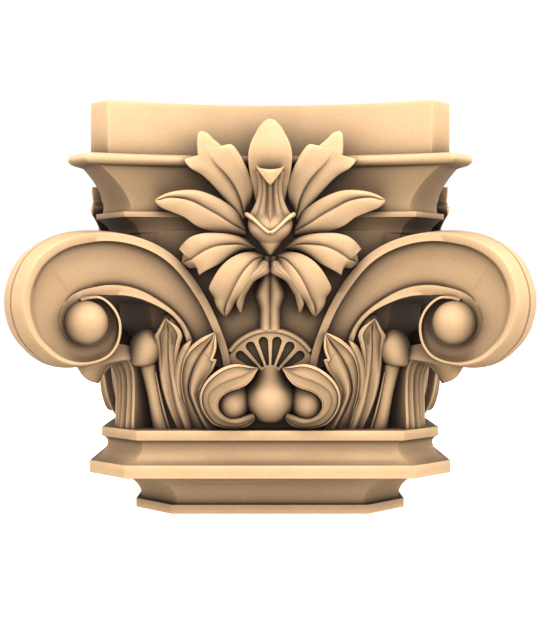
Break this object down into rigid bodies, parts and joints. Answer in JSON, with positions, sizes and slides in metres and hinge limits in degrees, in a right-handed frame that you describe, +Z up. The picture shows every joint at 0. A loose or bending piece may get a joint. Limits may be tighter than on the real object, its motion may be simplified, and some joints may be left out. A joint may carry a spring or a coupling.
{
  "type": "corinthian capital",
  "caption": "Square carved stone capital with chamfered base mouldings, leaf-clad bell, diagonal corner volutes, a palmette on each face and a moulded abacus.",
  "frame": {"origin": "middle of the underside of the bottom slab, where the capital rests on its shaft", "axes": "+Z up through the middle of the block, -Y to the front face, +X to the right of it"},
  "size_m": [0.488, 0.488, 0.407],
  "materials": {
    "stone": "fine-grained buff limestone, carved and rubbed smooth, with darker dust in the recesses"
  },
  "bodies": {
    "root": {"capital": "stone"}
  },
  "joints": []
}
